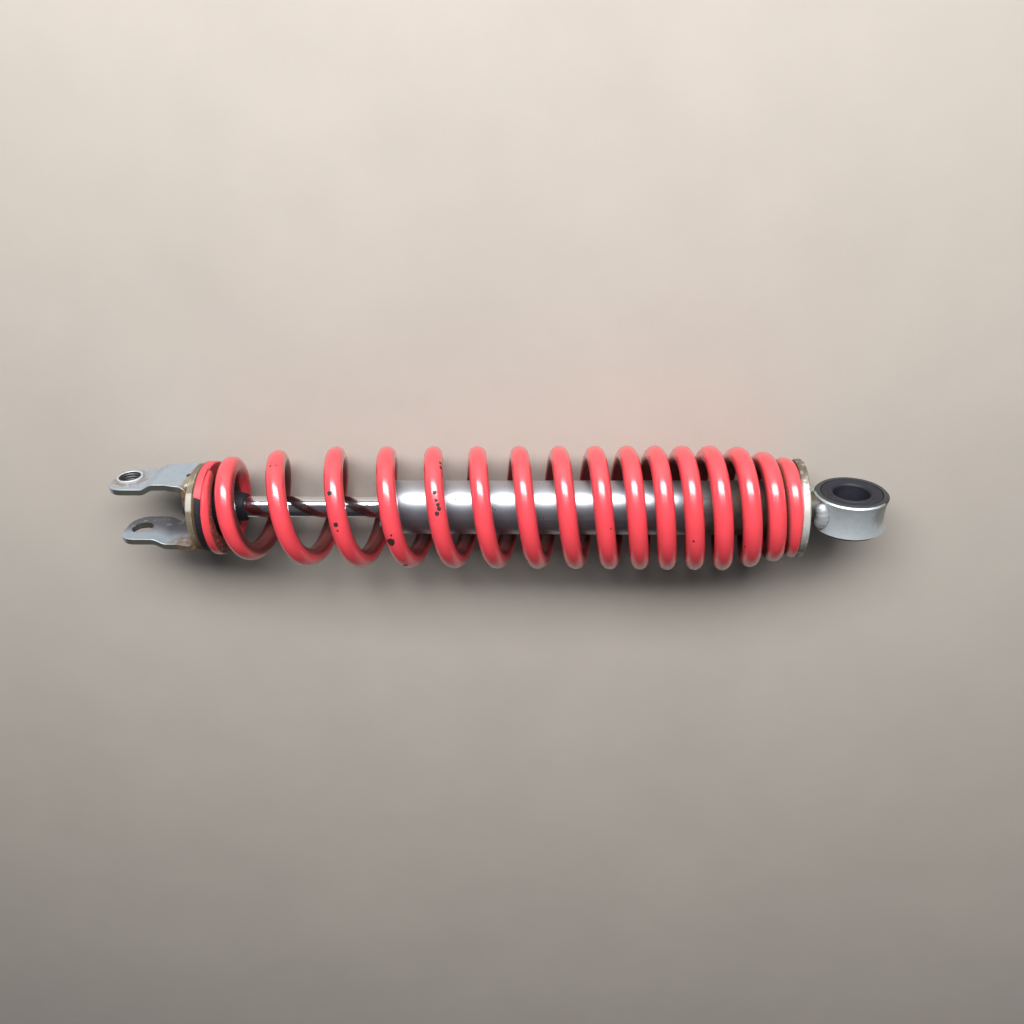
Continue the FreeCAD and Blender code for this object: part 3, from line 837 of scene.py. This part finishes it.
def paint_plated():
    """Zinc-plated and bare outside steel."""
    paint("clevis_bracket", zinc_look(
        "fork_zinc", (0.44, 0.51, 0.58), clean=0.56, yellow=0.1, rust=fork_rust, stain=fork_stain_and_shade,
    ))
    paint("lower_spring_seat", zinc_look(
        "lower_seat_zinc", (0.30, 0.275, 0.225), clean=0.50, yellow=0.7, rust=rim_rust(-1),
        stain=lower_seat_stain, metal=0.1, dull=0.2,
    ))
    paint("upper_spring_seat", zinc_look(
        "upper_seat_zinc", (0.84, 0.82, 0.76), clean=0.50, yellow=0.2, rust=rim_rust(1),
        stain=upper_seat_shade_and_grime,
    ))
    paint("eye_ring", zinc_look(
        "eye_zinc", (0.60, 0.66, 0.69), clean=0.60, stain=eye_stain, scratch_axis=(6, 1, 6),
    ))
    paint("tube_end_cap", zinc_look("cap_zinc", (0.085, 0.080, 0.068), clean=0.44, yellow=0.2))
    paint("rod_end_nut", machined_look(
        "rod_nut_dirty_steel", (0.12, 0.11, 0.10), 0.5, metallic=0.8, oily=0.7, ring_size=0.4 * MM,
    ))
    paint("damper_tube", tube_look())
    paint("piston_rod", chrome_look())


def paint_rubber():
    """Rubber pieces: node, name of the look, shade, dust."""
    for node, name, shade, dusty in (
        ("eye_bush", "bush_rubber", 0.013, 0.04),
        ("bump_stop", "bump_stop_rubber", 0.008, 0.06),
        ("dust_wiper", "wiper_rubber", 0.016, 0.3),
        ("oil_seal", "seal_rubber", 0.012, 0.0),
        ("top_out_bumper", "bumper_rubber", 0.014, 0.0),
        ("guide_o_ring", "guide_o_ring_rubber", 0.010, 0.0),
        ("floating_piston_o_ring", "gas_piston_o_ring_rubber", 0.010, 0.0),
    ):
        paint(node, rubber_look(name, shade, dusty))
    paint("spring_insulator", rubber_look("insulator_rubber", 0.008, 0.12, overspray))


def paint_inside():
    """Machined pieces inside the tube."""
    paint("piston_band", machined_look("band_polymer", (0.05, 0.10, 0.08), 0.45, metallic=0.0, oily=0.3))
    paint("rod_guide", machined_look("guide_aluminium", (0.62, 0.63, 0.64), 0.32))
    paint("floating_piston", machined_look("gas_piston_aluminium", (0.66, 0.67, 0.68), 0.28))
    paint("rod_bushing", machined_look("liner_bronze", (0.50, 0.29, 0.11), 0.35))
    paint("piston", machined_look(
        "piston_sintered_iron", (0.16, 0.16, 0.165), 0.55, metallic=0.8, oily=0.5, ring_size=0.3 * MM,
    ))
    paint("piston_nut", machined_look("piston_nut_phosphate", (0.10, 0.10, 0.11), 0.5, metallic=0.7))
    for node in ("seal_washer", "top_out_washer", "rebound_washer", "guide_circlip"):
        paint(node, machined_look(node + "_steel", (0.42, 0.42, 0.43), 0.35))
    for node in ("compression_shims", "rebound_shims"):
        paint(node, machined_look(node + "_spring_steel", (0.36, 0.38, 0.44), 0.22))


# Welds

def weld_bead(path, radius, seed, lumps=0.16):
    """A lumpy bead along a path, with rounded ends. lumps is the bumps' height as a share of the radius."""
    points_round = 20
    ripple_length = 1.6 * MM
    ripple = 0.012
    lump_size = 1.6 * MM
    end_share = 0.12
    end_power = 6
    rings = []
    count = len(path)
    length = 0.0
    for i in range(count):
        ahead = path[min(i + 1, count - 1)] - path[max(i - 1, 0)]
        along = ahead.normalized()
        first = along.orthogonal().normalized()
        second = along.cross(first)
        from_middle = abs(2 * i / (count - 1) - 1)
        taper = end_share + (1 - end_share) * math.sqrt(max(0.0, 1 - from_middle ** end_power))
        size = radius * taper * (1 + ripple * math.sin(math.tau * length / ripple_length))
        ring = []
        for j in range(points_round):
            angle = math.tau * j / points_round
            out = first * math.cos(angle) + second * math.sin(angle)
            point = path[i] + out * size
            lump = noise.noise(point / lump_size + Vector((seed, 0, 0)))
            ring.append(point + out * lump * lumps * radius)
        rings.append(ring)
        if i + 1 < count:
            length += (path[i + 1] - path[i]).length
    return skin(rings)


def join(name, meshes, body, material, node):
    """Several meshes in one piece."""
    build = bmesh.new()
    for mesh in meshes:
        build.from_mesh(mesh)
    whole = bpy.data.meshes.new(name)
    build.to_mesh(whole)
    build.free()
    new_piece(name, whole, body, material, node)


def make_eye_welds():
    """Two beads in the corner between stub and eye, above and below."""
    bead_r = 3.1 * MM
    smooth = 0.05
    root_r = stub_r + 0.4 * MM
    waist_r = eye_r - eye_waist
    set_out = 1.0 * MM
    half_sweep = 0.72
    steps = 40
    beads = []
    for side in (1, -1):
        path = []
        for i in range(steps + 1):
            angle = (2 * i / steps - 1) * half_sweep
            y = root_r * math.sin(angle)
            z = root_r * math.cos(angle) * side
            x = -math.sqrt(waist_r ** 2 - z ** 2) - set_out
            path.append(Vector((x, y, z)))
        beads.append(weld_bead(path, bead_r, SEED + side, smooth))
    material = zinc_look("eye_weld_zinc", (0.60, 0.62, 0.64), clean=0.5, yellow=0.1)
    join("eye_weld_beads", beads, "damper_body", material, "eye_welds")


def make_clevis_welds():
    """Beads between the fork's bends and the disc, with a gap left between each pair."""
    bead_r = 1.9 * MM
    sink = 0.9 * MM
    lean_in = 1.0 * MM
    steps = 30
    spans = ((-0.93, -0.30), (0.10, 0.93))
    beads = []
    for side in (1, -1):
        for start, end in spans:
            path = []
            for i in range(steps + 1):
                share = start + (end - start) * i / steps
                y = bracket_foot_y - sink - lean_in * share ** 2
                path.append(Vector((lower_seat_start - sink, side * y, share * bracket_foot_z)))
            beads.append(weld_bead(path, bead_r, SEED + 3 * side + start))
    material = zinc_look("clevis_weld_zinc", (0.42, 0.39, 0.31), clean=0.46, yellow=0.5)
    join("clevis_weld_beads", beads, "rod_assembly", material, "clevis_welds")


def make_seat_weld():
    """Lumpy fillet all round, between the upper seat and the tube."""
    sink = 0.6 * MM
    start = low("upper_seat_weld").x - sink
    end = high("upper_seat_weld").x
    top_r = high("upper_seat_weld").z
    corners = [
        (start, tube_r - sink, 0),
        (end, tube_r - sink, 0),
        (end, tube_r + 0.5 * MM, 0.3 * MM),
        ((start + end) / 2, top_r, 1.0 * MM),
        (start, top_r, 0.3 * MM),
    ]
    lump_size = 2.5 * MM
    lump_height = 0.18 * MM
    ripples = 46
    points_round = 240

    def lumps(along, radius, turn):
        """Lumps and ripples on the outside; the side against the tube stays round."""
        if radius < tube_r:
            return radius
        angle = math.tau * turn
        place = Vector((along, radius * math.cos(angle), radius * math.sin(angle)))
        swell = noise.noise(place / lump_size) + 0.5 * math.sin(angle * ripples)
        return radius + lump_height * swell

    mesh = lathe(rounded_profile(corners), Vector((1, 0, 0)), Vector((0, 0, 0)), points_round, lumps)
    tint = (0.46, 0.42, 0.34)
    material = zinc_look("upper_seat_weld_zinc", tint, clean=0.44, yellow=0.6, rust=rim_rust(1))
    new_piece("upper_seat_weld_bead", mesh, "damper_body", material, "upper_seat_weld")


# Threaded bush

thread_pitch = 1.25 * MM
thread_minor_r = 4.32 * MM
thread_depth = 0.62 * MM


def make_thread_bush():
    """Collar with a real thread inside: the inner radius climbs as a helix."""
    height = bush_top - bush_foot
    rows = 44
    points_round = 96
    inner = [(height * (1 - i / rows), thread_minor_r) for i in range(rows + 1)]
    outer = rounded_profile([
        (0, bush_r, 0.3 * MM),
        (height, bush_r, 0.7 * MM),
        (height, thread_minor_r + 0.9 * MM, 0.5 * MM),
    ])
    profile = [tuple(point) for point in outer] + inner

    def thread(along, radius, turn):
        """The thread's groove, which fades out at both faces."""
        if radius > thread_minor_r + 0.05 * MM:
            return radius
        phase = (along / thread_pitch - turn) % 1.0
        groove = 1 - abs(2 * phase - 1)
        fade = min(1.0, min(along, height - along) / (0.6 * thread_pitch) + 0.15)
        return thread_minor_r + thread_depth * (groove * fade + 0.5 * (1 - fade))

    mesh = lathe(profile, Vector((0, 1, 0)), Vector((bolt_x, bush_foot, 0)), points_round, thread)
    material = zinc_look("bush_zinc", (0.72, 0.74, 0.76), clean=0.56, stain=thread_hole_shade)
    new_piece("clevis_bush_threaded", mesh, "rod_assembly", material, "clevis_thread_bush")


# Stage

def make_floor():
    """A plain pale floor that the spring rests on."""
    half = 3.0
    corners = [(x * half, y * half, floor_z) for x, y in ((-1, -1), (1, -1), (1, 1), (-1, 1))]
    mesh = bpy.data.meshes.new("floor")
    mesh.from_pydata(corners, [], [(0, 1, 2, 3)])
    look = Look("floor_pale")
    clouds = look.noise(60 * MM, 5, 0.6)
    grain = look.noise(1.5 * MM, 4, 0.6)
    colour = look.mix(clouds, (0.47, 0.43, 0.385), (0.40, 0.365, 0.33))
    mesh.materials.append(look.finish(colour, 0.85, 0.0, ((grain, 0.05 * MM),)))
    floor = bpy.data.objects.new("floor", mesh)
    bpy.context.collection.objects.link(floor)


# Towards each light, from the middle of the shock
key_direction = (0.0, 0.74, 0.67)
glint_direction = (0.0, 0.89, 0.45)
light_distance = 0.9
light_width = 0.98
# The sky's colours, and how fast it brightens towards +Y and overhead
sky_dark = (0.030, 0.030, 0.032, 1)
sky_pale = (0.13, 0.14, 0.155, 1)
sky_slope = (0.0, 0.35, 0.35)


def softbox(name, direction, height, power, colour):
    """An area light that faces the middle of the shock."""
    light = bpy.data.lights.new(name, "AREA")
    light.shape = "RECTANGLE"
    light.size = light_width
    light.size_y = height
    light.energy = power
    light.color = colour
    lamp = bpy.data.objects.new(name, light)
    bpy.context.collection.objects.link(lamp)
    middle = (cad_box[0] + cad_box[1]) / 2
    away = Vector(direction).normalized()
    lamp.location = middle + away * light_distance
    lamp.rotation_mode = "QUATERNION"
    lamp.rotation_quaternion = away.to_track_quat("Z", "Y")
    return lamp


def make_lights():
    """A key that lights and casts shadows, and a lower one on the same side seen only in reflections."""
    key = softbox("key", key_direction, height=0.32, power=17.4, colour=(1.0, 0.985, 0.97))
    key.visible_glossy = False
    glint = softbox("glint", glint_direction, height=0.36, power=18.0, colour=(0.96, 0.98, 1.0))
    glint.visible_diffuse = False


def make_sky():
    """Soft light from all round, darker towards the ground on the -Y side."""
    world = bpy.data.worlds.new("studio")
    bpy.context.scene.world = world
    world.use_nodes = True
    tree = world.node_tree
    back = tree.nodes["Background"]
    place = tree.nodes.new("ShaderNodeTexCoord")
    lean = tree.nodes.new("ShaderNodeVectorMath")
    lean.operation = "DOT_PRODUCT"
    lean.inputs[1].default_value = sky_slope
    ramp = tree.nodes.new("ShaderNodeValToRGB")
    tree.links.new(place.outputs["Generated"], lean.inputs[0])
    tree.links.new(lean.outputs["Value"], ramp.inputs[0])
    dark, pale = ramp.color_ramp.elements
    dark.position = 0.0
    dark.color = sky_dark
    pale.position = 0.5
    pale.color = sky_pale
    tree.links.new(ramp.outputs[0], back.inputs[0])
    back.inputs[1].default_value = 1.0


camera_distance = 0.4238
camera_target_x = -0.1514
camera_pitch = math.radians(62.2)
camera_yaw = math.radians(-4.5)
camera_roll = math.radians(0.15)
camera_lens = 32.37
camera_sensor = 36
camera_lift = -0.0046
camera_near = 0.01


def turned(first, second, angle):
    """Two directions turned in the plane they span."""
    cosine = math.cos(angle)
    sine = math.sin(angle)
    return first * cosine + second * sine, second * cosine - first * sine


def make_camera():
    """Above the shock, leaning towards the side the eye's bore opens to."""
    data = bpy.data.cameras.new("camera")
    camera = bpy.data.objects.new("camera", data)
    bpy.context.collection.objects.link(camera)
    data.sensor_width = camera_sensor
    data.lens = camera_lens
    data.shift_y = camera_lift
    data.clip_start = camera_near
    back = Vector((0, math.cos(camera_pitch), math.sin(camera_pitch)))
    up = Vector((0, math.sin(camera_pitch), -math.cos(camera_pitch)))
    right = Vector((1, 0, 0))
    right, back = turned(right, back, camera_yaw)
    right, up = turned(right, up, camera_roll)
    place = Vector((camera_target_x, 0, 0)) + back * camera_distance
    camera.matrix_world = Matrix((
        (right.x, up.x, back.x, place.x),
        (right.y, up.y, back.y, place.y),
        (right.z, up.z, back.z, place.z),
        (0, 0, 0, 1),
    ))
    bpy.context.scene.camera = camera


paint_plated()
paint_rubber()
paint_inside()
make_spring()
make_eye_welds()
make_clevis_welds()
make_seat_weld()
make_thread_bush()
make_floor()
make_lights()
make_sky()
make_camera()
bpy.context.scene.view_settings.view_transform = "Standard"
